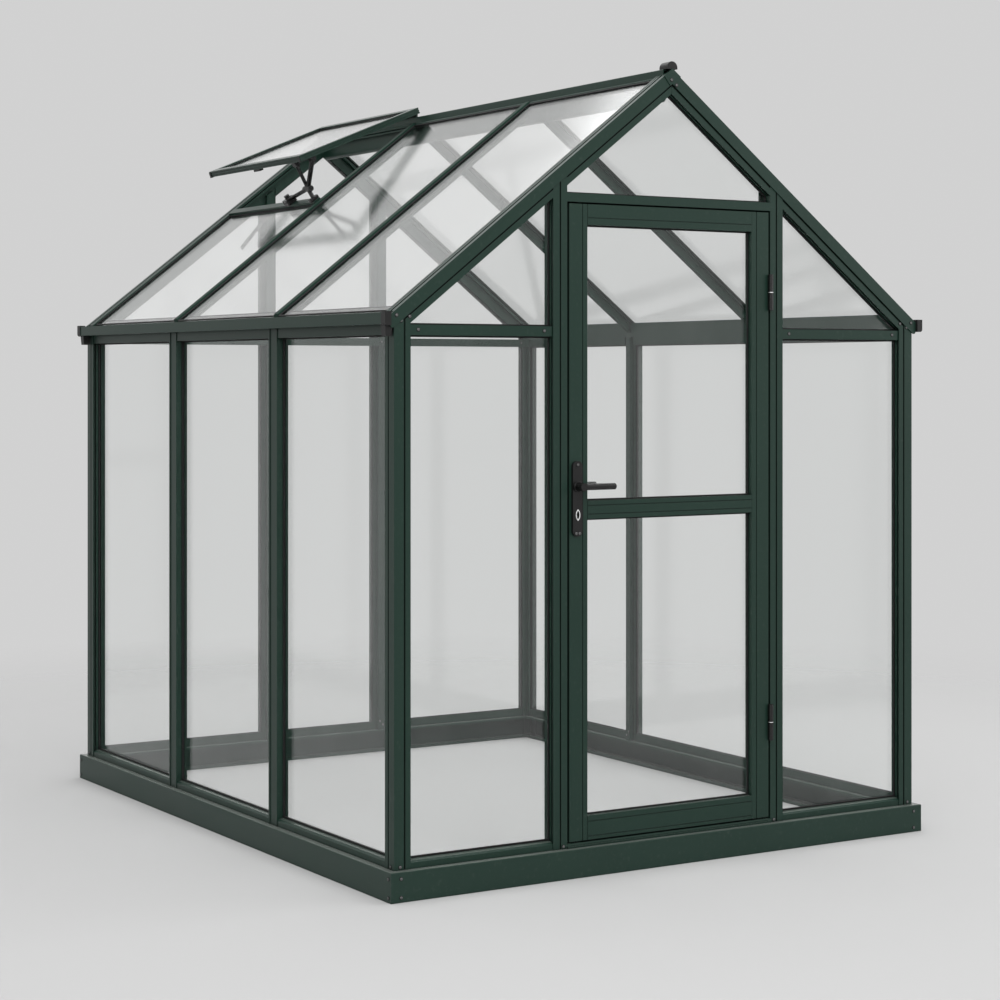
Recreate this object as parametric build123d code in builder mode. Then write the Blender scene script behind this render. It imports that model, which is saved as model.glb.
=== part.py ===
from build123d import *
import math
import os

# Small glass greenhouse with a gable roof, millimetres, +Z up.
# The front gable with the door faces -Y, the origin is the middle of the base on the ground.

# Driving dimensions
base_width = 1830.0
base_length = 2200.0
base_height = 80.0
base_sheet = 2.0
base_ledge = 64.0
base_lip = 10.0
base_bend = 3.0
ridge_height = 2242.0
roof_rise = 710.0
gutter_bottom = 1512.0
gutter_top = 1543.0
gutter_overhang = 11.0
wall_setback = 20.0
glass_thickness = 4.0
bay_line = 358.0
rear_bar_line = 225.0
tie_height = 28.0

# Wall plane and glass plane
wall_x = base_width / 2 - wall_setback
wall_y = base_length / 2 - wall_setback
glass_in = 24.0
glass_out = glass_in + glass_thickness
tuck = 10.0

# Posts and bars, each outer face with a deep groove between an outer and an inner strip
post_face = 50.0
post_depth = 34.0
post_groove = (29.0, 34.0)
groove_depth = 5.0
flange = 3.0
seal_slot_back = 11.0
seal_slot_depth = 7.0
bar_half = 27.0
bar_depth = 44.0
sill_height = 27.0
sill_depth = 30.0
head_height = 27.0

# Roof slope, measured on the outer faces of the rafters
roof_half = base_width / 2
slope = math.atan2(roof_rise, roof_half)
rafter_face = 55.0
rafter_groove = (33.0, 38.0)
rafter_band_proud = 3.0
rafter_lip = 46.0
roof_glass_top = 8.0
roof_glass_under = roof_glass_top + glass_thickness
ridge_half = 20.0
ridge_lip = 25.0
gutter_inner = 856.0
roof_glass_foot = 885.0

# Door
doorway_half = 352.5
door_post_width = 46.0
door_post_groove = (21.0, 25.5)
door_post_depth = 44.0
door_stop = 9.0
door_stop_sheet = 3.0
door_gap = 6.5
door_half = doorway_half - door_gap
door_bottom = 97.0
door_top = 1850.0
door_depth = 36.0
stile_width = 61.0
door_glass_in = 20.0
door_glass_out = door_glass_in + glass_thickness
lintel_bottom = 1855.0
lintel_top = 1879.0
threshold_top = 92.0
bottom_rail_height = 67.0
middle_rail_bottom = 982.0
middle_rail_top = 1032.0
top_rail_height = 57.0
bead_depth = 2.0
bead_half = 1.2

# Hinges and handle
hinge_heights = (372.0, 1618.0)
hinge_length = 104.0
knuckle_radius = 7.0
pin_radius = 3.0
pin_bore = 3.08
hinge_x = doorway_half - door_gap / 2
hinge_y = -wall_y - knuckle_radius
hinge_leaf = 1.8
handle_x = -323.0
handle_z = 1072.0
keyhole_z = 994.0
plate_width = 32.0
plate_height = 206.0
plate_middle = 1039.0
plate_depth = 8.0
lever_radius = 9.0
lever_length = 110.0
lever_reach = 23.0
neck_radius = 11.0
neck_bore = 11.06
spindle = 8.0
spindle_bore = 7.0

# Roof vent
vent_open = math.radians(22.5)
vent_length = 482.0
vent_front = 344.0
vent_rear = 1045.0
vent_bar = 26.0
vent_depth = 20.0
vent_hinge_x = -6.0
vent_hinge_z = 2256.0
vent_sill_down = 476.0


def roof_line(x, down=0.0):
    """Height of the roof at x, for a line parallel to the outer face and down below it."""
    return ridge_height - abs(x) * math.tan(slope) - down / math.cos(slope)


down_left = Vector(-math.cos(slope), 0, -math.sin(slope))
under_left = Vector(math.sin(slope), 0, -math.cos(slope))


def on_roof(along, down):
    """Point in X and Z on the left slope, along it from the apex and down below its outer face."""
    spot = down_left * along + under_left * down
    return (spot.X, ridge_height + spot.Z)


def section(plane, outline, *chambers, rounds=()):
    """Cut face of an extruded profile: its outline with rounded corners, less its hollow chambers."""
    with BuildSketch(plane) as face:
        with BuildLine():
            Polyline(*outline, close=True)
        make_face()
        for corner, radius in rounds:
            fillet(face.vertices().sort_by_distance((*corner, 0))[0], radius)
        for left, low, right, high in chambers:
            with Locations(((left + right) / 2, (low + high) / 2)):
                Rectangle(right - left, high - low, mode=Mode.SUBTRACT)
    return face.sketch


def write(piece, label):
    """Name a finished piece and write its file."""
    piece.part.label = label
    export_step(piece.part, f"parts/{label}.step")


os.makedirs("parts", exist_ok=True)

# Base: folded channels with an inward ledge above and below, each with a turned lip, mitred at the corners
channel_top = base_height - base_sheet
ledge_in = base_ledge - base_sheet
channel = [
    (0, 0),
    (base_ledge, 0),
    (base_ledge, base_lip),
    (ledge_in, base_lip),
    (ledge_in, base_sheet),
    (base_sheet, base_sheet),
    (base_sheet, channel_top),
    (ledge_in, channel_top),
    (ledge_in, base_height - base_lip),
    (base_ledge, base_height - base_lip),
    (base_ledge, base_height),
    (0, base_height),
]
channel_bends = (
    ((0, base_height), base_bend),
    ((base_sheet, channel_top), base_bend - base_sheet),
    ((base_ledge, base_height), base_bend),
    ((ledge_in, channel_top), base_bend - base_sheet),
)


def mitred_channel(half_span, offset):
    """One side of the base along X at the front, cut at 45 degrees at both ends."""
    across = Plane(origin=(-half_span, -offset, 0), x_dir=(0, 1, 0), z_dir=(1, 0, 0))
    with BuildPart() as side:
        extrude(section(across, channel, rounds=channel_bends), amount=2 * half_span)
        left_cut = Plane(origin=(-half_span, -offset, 0), z_dir=(1, -1, 0))
        right_cut = Plane(origin=(half_span, -offset, 0), z_dir=(-1, -1, 0))
        split(bisect_by=left_cut, keep=Keep.TOP)
        split(bisect_by=right_cut, keep=Keep.TOP)
    return side.part


base_end = mitred_channel(base_width / 2, base_length / 2)
base_side = mitred_channel(base_length / 2, base_width / 2).rotate(Axis.Z, 90)

with BuildPart() as base_ends:
    add(base_end)
    mirror(about=Plane.XZ)
write(base_ends, "base_ends")

with BuildPart() as base_sides:
    add(base_side)
    mirror(about=Plane.YZ)
write(base_sides, "base_sides")

# Angle brackets inside the base corners, between the ledge and the lip
bracket_leg = 36.0
bracket_sheet = 3.0
bracket_height = base_height - base_sheet - base_bend
with BuildPart() as base_brackets:
    corner = Plane(origin=(-base_width / 2 + base_sheet, -base_length / 2 + base_sheet, base_sheet))
    angle = [
        (0, 0),
        (bracket_leg, 0),
        (bracket_leg, bracket_sheet),
        (bracket_sheet, bracket_sheet),
        (bracket_sheet, bracket_leg),
        (0, bracket_leg),
    ]
    extrude(section(corner, angle), amount=bracket_height)
    mirror(about=Plane.YZ)
    mirror(about=Plane.XZ)
write(base_brackets, "base_brackets")

# Corner posts: equal arms, each with a face groove, a seal slot, a glass slot and a hollow chamber
groove_out, groove_in = post_groove
post_arm = [
    (groove_out, 0),
    (groove_out, groove_depth),
    (groove_in, groove_depth),
    (groove_in, 0),
    (post_face, 0),
    (post_face, flange),
    (post_face - seal_slot_depth, flange),
    (post_face - seal_slot_depth, seal_slot_back),
    (post_face, seal_slot_back),
    (post_face, glass_in),
    (post_face - tuck, glass_in),
    (post_face - tuck, glass_out),
    (post_face, glass_out),
    (post_face, post_depth),
]
post_outline = [(0, 0)] + post_arm + [(post_depth, post_depth)] + [(v, u) for u, v in reversed(post_arm)]
post_chambers = [(4, 4, 26, 26), (37, 13.5, 47, 21.5), (13.5, 37, 21.5, 47)]

# Where a rafter meets its corner post: under the outer band, and mitred on the inner strip
band_low, inner_high = rafter_groove
seat_line = [
    (-wall_x, roof_line(wall_x, band_low)),
    (-wall_x + groove_in, roof_line(wall_x - groove_in, band_low)),
    (-wall_x + groove_in, roof_line(wall_x - groove_in, inner_high)),
    (-wall_x + post_face, roof_line(wall_x - post_face, rafter_face)),
]
post_top = seat_line[1][1] + 1
front_face = Plane(origin=(0, -wall_y, 0), x_dir=(1, 0, 0), z_dir=(0, -1, 0))
with BuildPart() as corner_posts_front:
    foot = Plane(origin=(-wall_x, -wall_y, base_height))
    extrude(section(foot, post_outline, *post_chambers), amount=post_top - base_height)
    over_seat = seat_line + [(-wall_x + post_face, post_top + 1), (-wall_x, post_top + 1)]
    extrude(section(front_face, over_seat), amount=-post_depth, mode=Mode.SUBTRACT)
    with Locations((-wall_x, -wall_y + post_depth, gutter_bottom)):
        Box(post_face, post_face, post_top, align=(Align.MIN, Align.MIN, Align.MIN), mode=Mode.SUBTRACT)
    mirror(about=Plane.YZ)
write(corner_posts_front, "corner_posts_front")

with BuildPart() as corner_posts_rear:
    mirror(corner_posts_front.part, about=Plane.XZ)
write(corner_posts_rear, "corner_posts_rear")

# Glazing bars: outer face sunk between two ribs, a glass slot each side and an inner fin
bar_rib = 7.0
bar_sink = 2.0
fin_half = 12.0
bar_side = [
    (bar_half - bar_rib, bar_sink),
    (bar_half - bar_rib, 0),
    (bar_half, 0),
    (bar_half, glass_in),
    (bar_half - tuck, glass_in),
    (bar_half - tuck, glass_out),
    (bar_half, glass_out),
    (bar_half, sill_depth),
    (fin_half, sill_depth),
    (fin_half, bar_depth),
]
bar_outline = bar_side + [(-u, v) for u, v in reversed(bar_side)]
bar_chambers = [(-17, 5, 17, 21), (-fin_half + 2.5, 24, fin_half - 2.5, bar_depth - 2.5)]
with BuildPart() as wall_bars_left:
    for bar_y in (-bay_line, bay_line):
        foot = Plane(origin=(-wall_x, bar_y, base_height), x_dir=(0, -1, 0))
        extrude(section(foot, bar_outline, *bar_chambers), amount=gutter_bottom - base_height)
write(wall_bars_left, "wall_bars_left")

with BuildPart() as wall_bars_right:
    mirror(wall_bars_left.part, about=Plane.YZ)
write(wall_bars_right, "wall_bars_right")

# The rear bars run on up through the rafters' inner strip to their outer band
under_band = Plane(
    origin=(0, 0, roof_line(0, band_low)),
    z_dir=(-math.sin(slope), 0, math.cos(slope)),
)
with BuildPart() as wall_bars_rear:
    foot = Plane(origin=(-rear_bar_line, wall_y, base_height), x_dir=(-1, 0, 0))
    extrude(section(foot, bar_outline, *bar_chambers), amount=ridge_height - base_height)
    split(bisect_by=under_band, keep=Keep.BOTTOM)
    mirror(about=Plane.YZ)
write(wall_bars_rear, "wall_bars_rear")

# Sills between the posts: sloping weather face, glass slot and inner upstand
sill_outline = [
    (2, 0),
    (2, 16),
    (8, 21),
    (glass_in, 25),
    (glass_in, 19),
    (glass_out, 19),
    (glass_out, sill_height),
    (sill_depth, sill_height),
    (sill_depth, 0),
]
sill_chamber = (5, 2.5, 21, 15)


def sill_length(plane, length):
    """One sill between two uprights."""
    return extrude(section(plane, sill_outline, sill_chamber), amount=length)


with BuildPart() as sills:
    for start, stop in (
        (-wall_y + post_face, -bay_line - bar_half),
        (-bay_line + bar_half, bay_line - bar_half),
        (bay_line + bar_half, wall_y - post_face),
    ):
        sill_length(
            Plane(origin=(-wall_x, stop, base_height), x_dir=(1, 0, 0), z_dir=(0, -1, 0)),
            stop - start,
        )
    sill_length(
        Plane(origin=(-wall_x + post_face, -wall_y, base_height), x_dir=(0, 1, 0), z_dir=(1, 0, 0)),
        wall_x - post_face - doorway_half - door_post_width,
    )
    sill_length(
        Plane(origin=(-rear_bar_line - bar_half, wall_y, base_height), x_dir=(0, -1, 0), z_dir=(-1, 0, 0)),
        wall_x - post_face - rear_bar_line - bar_half,
    )
    mirror(about=Plane.YZ)
    sill_length(
        Plane(origin=(rear_bar_line - bar_half, wall_y, base_height), x_dir=(0, -1, 0), z_dir=(-1, 0, 0)),
        2 * (rear_bar_line - bar_half),
    )
write(sills, "sills")

# Door posts: face groove, seal and glass slots outside, door stop behind the leaf, up to the rafters' band
door_post_outline = [
    (0, 0),
    (door_post_groove[0], 0),
    (door_post_groove[0], groove_depth),
    (door_post_groove[1], groove_depth),
    (door_post_groove[1], 0),
    (door_post_width, 0),
    (door_post_width, door_post_depth - door_stop_sheet),
    (door_post_width + door_stop, door_post_depth - door_stop_sheet),
    (door_post_width + door_stop, door_post_depth),
    (0, door_post_depth),
    (0, glass_out),
    (tuck, glass_out),
    (tuck, glass_in),
    (0, glass_in),
    (0, seal_slot_back),
    (seal_slot_depth, seal_slot_back),
    (seal_slot_depth, flange),
    (0, flange),
]
door_post_chamber = (28.5, 3.5, door_post_width - 3, door_post_depth - 6)
door_post_out = doorway_half + door_post_width
with BuildPart() as door_posts:
    foot = Plane(origin=(-door_post_out, -wall_y, base_height))
    extrude(section(foot, door_post_outline, door_post_chamber), amount=ridge_height - base_height)
    split(bisect_by=under_band, keep=Keep.BOTTOM)
    mirror(about=Plane.YZ)
write(door_posts, "door_posts")

# Lintel between the door posts, with the door stop below and the gable glass slot above
lintel_outline = [
    (0, lintel_bottom),
    (door_post_depth - door_stop_sheet, lintel_bottom),
    (door_post_depth - door_stop_sheet, lintel_bottom - door_stop - door_gap),
    (door_post_depth, lintel_bottom - door_stop - door_gap),
    (door_post_depth, lintel_top),
    (glass_out, lintel_top),
    (glass_out, lintel_top - tuck),
    (glass_in, lintel_top - tuck),
    (glass_in, lintel_top),
    (0, lintel_top),
]
with BuildPart() as lintel:
    end = Plane(origin=(-doorway_half, -wall_y, 0), x_dir=(0, 1, 0), z_dir=(1, 0, 0))
    extrude(section(end, lintel_outline), amount=2 * doorway_half)
    with BuildPart(mode=Mode.SUBTRACT):
        for side in (-1, 1):
            notch = Location((side * (doorway_half - door_stop / 2), -wall_y + door_post_depth, lintel_bottom - 10))
            with Locations(notch):
                Box(door_stop, 2 * door_stop_sheet, 200)
write(lintel, "lintel")

# Threshold under the leaf, stepped outside, with a low stop behind the leaf
threshold_outline = [
    (-4, base_height),
    (-4, base_height + 5),
    (0, base_height + 5),
    (0, threshold_top - 3),
    (3, threshold_top),
    (door_post_depth - door_stop_sheet, threshold_top),
    (door_post_depth - door_stop_sheet, threshold_top + 12),
    (door_post_depth, threshold_top + 12),
    (door_post_depth, base_height),
]
with BuildPart() as threshold:
    end = Plane(origin=(-doorway_half, -wall_y, 0), x_dir=(0, 1, 0), z_dir=(1, 0, 0))
    extrude(section(end, threshold_outline), amount=2 * doorway_half)
    with BuildPart(mode=Mode.SUBTRACT):
        for side in (-1, 1):
            notch = Location((side * (doorway_half - door_stop / 2), -wall_y + door_post_depth, threshold_top))
            with Locations(notch):
                Box(door_stop, 2 * door_stop_sheet, 200)
write(threshold, "threshold")

# Tie beams at eave height
tie_setback = 4.0
tie_front_depth = glass_in - tie_setback
with BuildPart() as tie_beams_front:
    tie_length = wall_x - post_face - door_post_out
    tie_middle = -(wall_x - post_face + door_post_out) / 2
    tie_y = -wall_y + tie_setback + tie_front_depth / 2
    with Locations((tie_middle, tie_y, gutter_bottom - tie_height / 2)):
        Box(tie_length, tie_front_depth, tie_height)
    mirror(about=Plane.YZ)
write(tie_beams_front, "tie_beams_front")

tie_rear_depth = 16.0
with BuildPart() as tie_beam_rear:
    with Locations((0, wall_y - bar_depth - tie_rear_depth / 2, gutter_bottom - tie_height / 2)):
        Box(2 * gutter_inner, tie_rear_depth, tie_height)
write(tie_beam_rear, "tie_beam_rear")

# Gutters: open trough, seat for the roof glass inside, wall head with the glass slot between the bars
gutter_x = base_width / 2 + gutter_overhang
gutter_inside = gutter_x - gutter_inner
head_out = gutter_x - wall_x + 2
slot_out = gutter_x - wall_x + glass_in
slot_in = slot_out + glass_thickness
head_bottom = gutter_bottom - head_height
seat_out = gutter_inner + 4
gutter_outline = [
    (0, gutter_bottom),
    (0, gutter_top),
    (5, gutter_top),
    (5, gutter_top - 2),
    (2, gutter_top - 2),
    (2, gutter_bottom + 2),
    (gutter_inside - 4, gutter_bottom + 2),
    (gutter_inside - 4, roof_line(seat_out, roof_glass_under)),
    (gutter_inside, roof_line(gutter_inner, roof_glass_under)),
    (gutter_inside, head_bottom),
    (slot_in, head_bottom),
    (slot_in, head_bottom + 16),
    (slot_out, head_bottom + 16),
    (slot_out, head_bottom),
    (head_out, head_bottom),
    (head_out, gutter_bottom),
]
with BuildPart() as gutter_left:
    end = Plane(origin=(-gutter_x, wall_y, 0), x_dir=(1, 0, 0), z_dir=(0, -1, 0))
    extrude(section(end, gutter_outline), amount=2 * wall_y)
    with BuildPart(mode=Mode.SUBTRACT):
        for end_y in (-1, 1):
            with Locations((-wall_x + 100, end_y * (wall_y - rafter_lip + 100), gutter_bottom + 100)):
                Box(200, 200, 200)
            with Locations((-wall_x + 100, end_y * (wall_y - post_face + 100), gutter_bottom - 100)):
                Box(200, 200, 200)
            with Locations((-wall_x, end_y * bay_line, gutter_bottom)):
                Box(bar_depth, 2 * bar_half, 100, align=(Align.MIN, Align.CENTER, Align.MAX))
write(gutter_left, "gutter_left")

with BuildPart() as gutter_right:
    mirror(gutter_left.part, about=Plane.YZ)
write(gutter_right, "gutter_right")

# Black plastic sleeves on the ends of the gutters, the left ones with an outlet below
sleeve_wall = 3.0
sleeve_near = wall_y + 11
sleeve_far = wall_y - 12
sleeve_in = wall_x + 14
outlet_top = (22.0, 26.0)
outlet_foot = (17.0, 22.0)
outlet_height = 31.0
outlet_x = gutter_x - 16
outlet_y = wall_y - 14
sleeve_outline = [
    (-gutter_x - 2, gutter_bottom - sleeve_wall),
    (-sleeve_in, gutter_bottom - sleeve_wall),
    (-sleeve_in, gutter_top + sleeve_wall),
    (-gutter_x - 2, gutter_top + sleeve_wall),
]
with BuildPart() as gutter_ends:
    near = Plane(origin=(0, -sleeve_far, 0), x_dir=(1, 0, 0), z_dir=(0, -1, 0))
    extrude(section(near, sleeve_outline, rounds=[(sleeve_outline[0], 8)]), amount=sleeve_near - sleeve_far)
    mirror(about=Plane.YZ)
    with BuildSketch(Plane.XY.offset(gutter_bottom)):
        with Locations((-outlet_x, -outlet_y)):
            Rectangle(*outlet_top)
    with BuildSketch(Plane.XY.offset(gutter_bottom - outlet_height)):
        with Locations((-outlet_x, -outlet_y)):
            Rectangle(*outlet_foot)
    loft()
    for gutter_end, side in ((-gutter_x, 1), (gutter_x, -1)):
        trough = Plane(origin=(gutter_end, -sleeve_far, 0), x_dir=(side, 0, 0), z_dir=(0, -side, 0))
        extrude(section(trough, gutter_outline), amount=side * (wall_y - sleeve_far), mode=Mode.SUBTRACT)
    mirror(about=Plane.XZ)
write(gutter_ends, "gutter_ends")

# Rafters in the gables: proud outer band, groove and inner band outside, seal and glass slots below,
# roof glass slot inside and a drain groove on top
band_front = -rafter_band_proud
rafter_outline = [
    (0, band_front),
    (band_low, band_front),
    (band_low, groove_depth),
    (inner_high, groove_depth),
    (inner_high, 0),
    (rafter_face, 0),
    (rafter_face, flange),
    (rafter_face - seal_slot_depth, flange),
    (rafter_face - seal_slot_depth, seal_slot_back),
    (rafter_face, seal_slot_back),
    (rafter_face, glass_in),
    (rafter_face - tuck, glass_in),
    (rafter_face - tuck, glass_out),
    (rafter_face, glass_out),
    (rafter_face, post_depth - 1),
    (20, post_depth - 1),
    (20, rafter_lip),
    (roof_glass_under, rafter_lip),
    (roof_glass_under, rafter_lip - tuck),
    (roof_glass_top, rafter_lip - tuck),
    (roof_glass_top, rafter_lip),
    (2, rafter_lip),
    (0, rafter_lip - 2),
    (0, 34),
    (1.5, 34),
    (1.5, 31),
    (0, 31),
    (0, 22),
    (6, 22),
    (6, 13),
    (0, 13),
]
rafter_chambers = [(9, -30, 30, 0), (41, -21.5, 52, -14)]
rafter_top = 60.0
rafter_run = 1300.0
rafter_foot = wall_x + 13
tab_round = 7.0
mitre_gap = 0.4
ridge_box_low = 2224.0
ridge_box_inset = 14.0
far_below = 400.0


def rafter(uprights):
    """Left rafter of the front gable, its inner band stopped at uprights that run up to the outer band."""
    top = Vector(0, -wall_y, ridge_height) - down_left * rafter_top
    end = Plane(origin=top, x_dir=under_left, z_dir=down_left)
    with BuildPart() as bar:
        extrude(section(end, [(p, -v) for p, v in rafter_outline], *rafter_chambers), amount=rafter_run)
        split(bisect_by=Plane.YZ.offset(-mitre_gap), keep=Keep.BOTTOM)
        split(bisect_by=Plane.YZ.offset(-rafter_foot), keep=Keep.TOP)
        with Locations((-wall_x, -wall_y, gutter_bottom)):
            Box(100, 100, far_below, align=(Align.MAX, Align.MIN, Align.CENTER), mode=Mode.SUBTRACT)
        tab_edges = bar.edges().filter_by(Axis.Y).group_by(Axis.X)[0]
        fillet(tab_edges.sort_by(Axis.Z)[0], tab_round)
        seat = [*seat_line, (-wall_x + post_face, gutter_bottom - 100), (-wall_x, gutter_bottom - 100)]
        extrude(section(front_face, seat), amount=-post_depth, mode=Mode.SUBTRACT)
        for inner, outer in uprights:
            notch = [
                (-outer, roof_line(outer, band_low)),
                (-inner, roof_line(inner, band_low)),
                (-inner, roof_line(inner) - far_below),
                (-outer, roof_line(outer) - far_below),
            ]
            extrude(section(front_face, notch), amount=-bar_depth, mode=Mode.SUBTRACT)
        with Locations((0, -wall_y + ridge_box_inset, ridge_box_low)):
            Box(2 * ridge_half, 100, 100, align=(Align.CENTER, Align.MIN, Align.MIN), mode=Mode.SUBTRACT)
    return bar.part


with BuildPart() as front_rafter_left:
    add(rafter([(doorway_half, door_post_out)]))
write(front_rafter_left, "front_rafter_left")

with BuildPart() as front_rafter_right:
    mirror(front_rafter_left.part, about=Plane.YZ)
write(front_rafter_right, "front_rafter_right")

with BuildPart() as rear_rafter_left:
    mirror(rafter([(rear_bar_line - bar_half, rear_bar_line + bar_half)]), about=Plane.XZ)
write(rear_rafter_left, "rear_rafter_left")

with BuildPart() as rear_rafter_right:
    mirror(rear_rafter_left.part, about=Plane.YZ)
write(rear_rafter_right, "rear_rafter_right")

# Ridge beam between the rafters: box on top, a slot for the roof glass on each side, rounded web below
ridge_bottom = 2153.0
web_half = 13.0
lip_top = 4.5
lip_under = 16.0
ridge_side = [
    (ridge_half - 1.5, ridge_height),
    (ridge_half, ridge_height - 1.5),
    (ridge_half, roof_line(ridge_half, lip_top)),
    (ridge_lip, roof_line(ridge_lip, lip_top)),
    (ridge_lip, roof_line(ridge_lip, roof_glass_top)),
    (ridge_half - tuck, roof_line(ridge_half - tuck, roof_glass_top)),
    (ridge_half - tuck, roof_line(ridge_half - tuck, roof_glass_under)),
    (ridge_lip, roof_line(ridge_lip, roof_glass_under)),
    (ridge_lip, roof_line(ridge_lip, lip_under)),
    (web_half, roof_line(web_half, lip_under)),
    (web_half, ridge_bottom),
]
ridge_outline = ridge_side + [(-x, z) for x, z in reversed(ridge_side)]
box_outline = [
    (-ridge_half, ridge_box_low),
    (ridge_half, ridge_box_low),
    (ridge_half, ridge_height - 1.5),
    (ridge_half - 1.5, ridge_height),
    (-ridge_half + 1.5, ridge_height),
    (-ridge_half, ridge_height - 1.5),
]
box_chamber = (-16.5, 2228, 16.5, 2238.5)
web_chamber = (-10, 2163, 10, 2204)
web_rounds = [((side * web_half, ridge_bottom), web_half - 0.5) for side in (-1, 1)]
ridge_span = wall_y - rafter_lip
box_span = wall_y - ridge_box_inset
with BuildPart() as ridge_beam:
    end = Plane(origin=(0, ridge_span, 0), x_dir=(1, 0, 0), z_dir=(0, -1, 0))
    extrude(section(end, ridge_outline, box_chamber, web_chamber, rounds=web_rounds), amount=2 * ridge_span)
    box_end = Plane(origin=(0, box_span, 0), x_dir=(1, 0, 0), z_dir=(0, -1, 0))
    extrude(section(box_end, box_outline, box_chamber), amount=box_span - ridge_span)
    near_end = Plane(origin=(0, -ridge_span, 0), x_dir=(1, 0, 0), z_dir=(0, -1, 0))
    extrude(section(near_end, box_outline, box_chamber), amount=box_span - ridge_span)
write(ridge_beam, "ridge_beam")

# Black half-round caps on the two ends of the ridge, out over the apex plates
cap_radius = 18.0
cap_side = 4.0
cap_length = 37.0
with BuildPart() as ridge_caps:
    cap_back = cap_length - wall_y - rafter_band_proud
    with BuildSketch(Plane(origin=(0, cap_back, 0), x_dir=(1, 0, 0), z_dir=(0, -1, 0))):
        with BuildLine():
            Polyline(
                (-cap_radius, ridge_height + cap_side),
                (-cap_radius, ridge_height),
                (cap_radius, ridge_height),
                (cap_radius, ridge_height + cap_side),
            )
            RadiusArc(
                (cap_radius, ridge_height + cap_side),
                (-cap_radius, ridge_height + cap_side),
                -cap_radius,
            )
        make_face()
    extrude(amount=cap_length)
    mirror(about=Plane.XZ)
write(ridge_caps, "ridge_caps")

# Plates over the mitres of the outer bands at the apex of each gable
plate_along = 35.4
plate_sheet = 2.0
plate_edge = 1.5
apex_outline = [
    (0, roof_line(0, -plate_edge)),
    on_roof(plate_along, -plate_edge),
    on_roof(plate_along, band_low),
    (0, roof_line(0, band_low)),
]
apex_right = [(-x, z) for x, z in reversed(apex_outline[1:3])]
with BuildPart() as apex_plates:
    face = Plane(origin=(0, -wall_y - rafter_band_proud, 0), x_dir=(1, 0, 0), z_dir=(0, -1, 0))
    extrude(section(face, apex_outline + apex_right), amount=plate_sheet)
    mirror(about=Plane.XZ)
write(apex_plates, "apex_plates")

# Roof bars: chamfered cap over the glass, stem, seats and lower bead
bar_cap_outline = [
    (-14, roof_glass_top),
    (-14, 3),
    (-11, 0),
    (11, 0),
    (14, 3),
    (14, roof_glass_top),
    (4, roof_glass_top),
    (4, roof_glass_under),
    (-4, roof_glass_under),
    (-4, roof_glass_top),
]
bar_web_outline = [
    (-14, roof_glass_under),
    (14, roof_glass_under),
    (14, 15),
    (4, 15),
    (4, 32),
    (10, 32),
    (10, 40),
    (-10, 40),
    (-10, 32),
    (-4, 32),
    (-4, 15),
    (-14, 15),
]
with BuildPart() as roof_bars_left:
    for bar_y in (-bay_line, bay_line):
        for outline, foot_x in ((bar_cap_outline, roof_glass_foot), (bar_web_outline, gutter_inner)):
            top = Plane(origin=(0, bar_y, ridge_height), x_dir=(0, -1, 0), z_dir=down_left)
            with BuildPart(mode=Mode.PRIVATE) as stick:
                extrude(section(top, [(across, -down) for across, down in outline]), amount=rafter_run)
                split(bisect_by=Plane.YZ.offset(-ridge_lip), keep=Keep.BOTTOM)
                split(bisect_by=Plane.YZ.offset(-foot_x), keep=Keep.TOP)
            add(stick.part)
write(roof_bars_left, "roof_bars_left")

with BuildPart() as roof_bars_right:
    mirror(roof_bars_left.part, about=Plane.YZ)
write(roof_bars_right, "roof_bars_right")

# Side wall glass, three panes in each wall
pane_foot = base_height + 19
pane_head = head_bottom + 14
pane_step = tuck - 1
side_bays = (
    (-wall_y + post_face - pane_step, -bay_line - bar_half + pane_step),
    (-bay_line + bar_half - pane_step, bay_line - bar_half + pane_step),
    (bay_line + bar_half - pane_step, wall_y - post_face + pane_step),
)
with BuildPart() as glass_left:
    for start, stop in side_bays:
        with Locations((-wall_x + glass_in, start, pane_foot)):
            Box(
                glass_thickness,
                stop - start,
                pane_head - pane_foot,
                align=(Align.MIN, Align.MIN, Align.MIN),
            )
write(glass_left, "glass_left")

with BuildPart() as glass_right:
    mirror(glass_left.part, about=Plane.YZ)
write(glass_right, "glass_right")

# Gable glass follows the rafters, its sloping edges in their slots
gable_edge = rafter_face - pane_step
corner_edge = wall_x - post_face + pane_step


def gable_pane(plane, inner, outer, foot):
    """Pane on the left side of a gable, between two heights of the roof line."""
    outline = [
        (-outer, foot),
        (-inner, foot),
        (-inner, roof_line(inner, gable_edge)),
        (-outer, roof_line(outer, gable_edge)),
    ]
    return extrude(section(plane, outline), amount=glass_thickness)


def ridge_pane(plane, half, foot):
    """Pane in the middle of a gable, with its point under the ridge."""
    outline = [
        (-half, foot),
        (half, foot),
        (half, roof_line(half, gable_edge)),
        (0, roof_line(0, gable_edge)),
        (-half, roof_line(half, gable_edge)),
    ]
    return extrude(section(plane, outline), amount=glass_thickness)


with BuildPart() as glass_front:
    face = Plane(origin=(0, -wall_y + glass_out, 0), x_dir=(1, 0, 0), z_dir=(0, -1, 0))
    gable_pane(face, door_post_out - pane_step, corner_edge, pane_foot)
    mirror(about=Plane.YZ)
    ridge_pane(face, doorway_half, lintel_top - pane_step)
write(glass_front, "glass_front")

with BuildPart() as glass_rear:
    face = Plane(origin=(0, wall_y - glass_in, 0), x_dir=(1, 0, 0), z_dir=(0, -1, 0))
    gable_pane(face, rear_bar_line + bar_half - pane_step, corner_edge, pane_foot)
    mirror(about=Plane.YZ)
    ridge_pane(face, rear_bar_line - bar_half + pane_step, pane_foot)
write(glass_rear, "glass_rear")

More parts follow.
